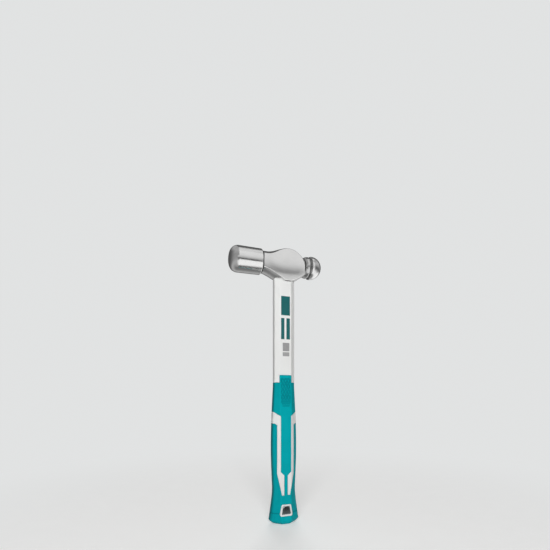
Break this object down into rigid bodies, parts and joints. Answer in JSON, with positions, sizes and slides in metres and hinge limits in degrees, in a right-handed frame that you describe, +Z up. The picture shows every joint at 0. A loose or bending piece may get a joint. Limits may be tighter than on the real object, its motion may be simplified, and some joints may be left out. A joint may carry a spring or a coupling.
{
  "type": "ball peen hammer",
  "caption": "Hand hammer for metalwork: polished steel head with a round striking face and a ball peen, fibreglass core in a white plastic jacket, soft grip with a hanging hole",
  "frame": {"origin": "Middle of the butt's flat end, where the hammer stands when it is set upright on its butt", "axes": "+Z runs up the handle to the head; the striking face looks along -X and the ball along +X; +Y points to the back, away from the labelled side"},
  "size_m": [0.111, 0.029, 0.3171],
  "materials": {
    "steel": "polished forged steel",
    "resin": "cast epoxy resin, amber",
    "fibreglass": "glass fibre rod, straw coloured",
    "white": "white moulded plastic, satin gloss",
    "teal": "soft thermoplastic rubber, teal, satin",
    "dark": "dark grey plastic, matt",
    "label": "white printed film with plain dark blocks"
  },
  "bodies": {
    "root": {"head": "steel", "eye_resin": "resin", "core_rod": "fibreglass", "handle_jacket": "white", "grip_sleeve": "teal", "hang_hole_liner": "dark", "front_label": "label"}
  },
  "joints": []
}
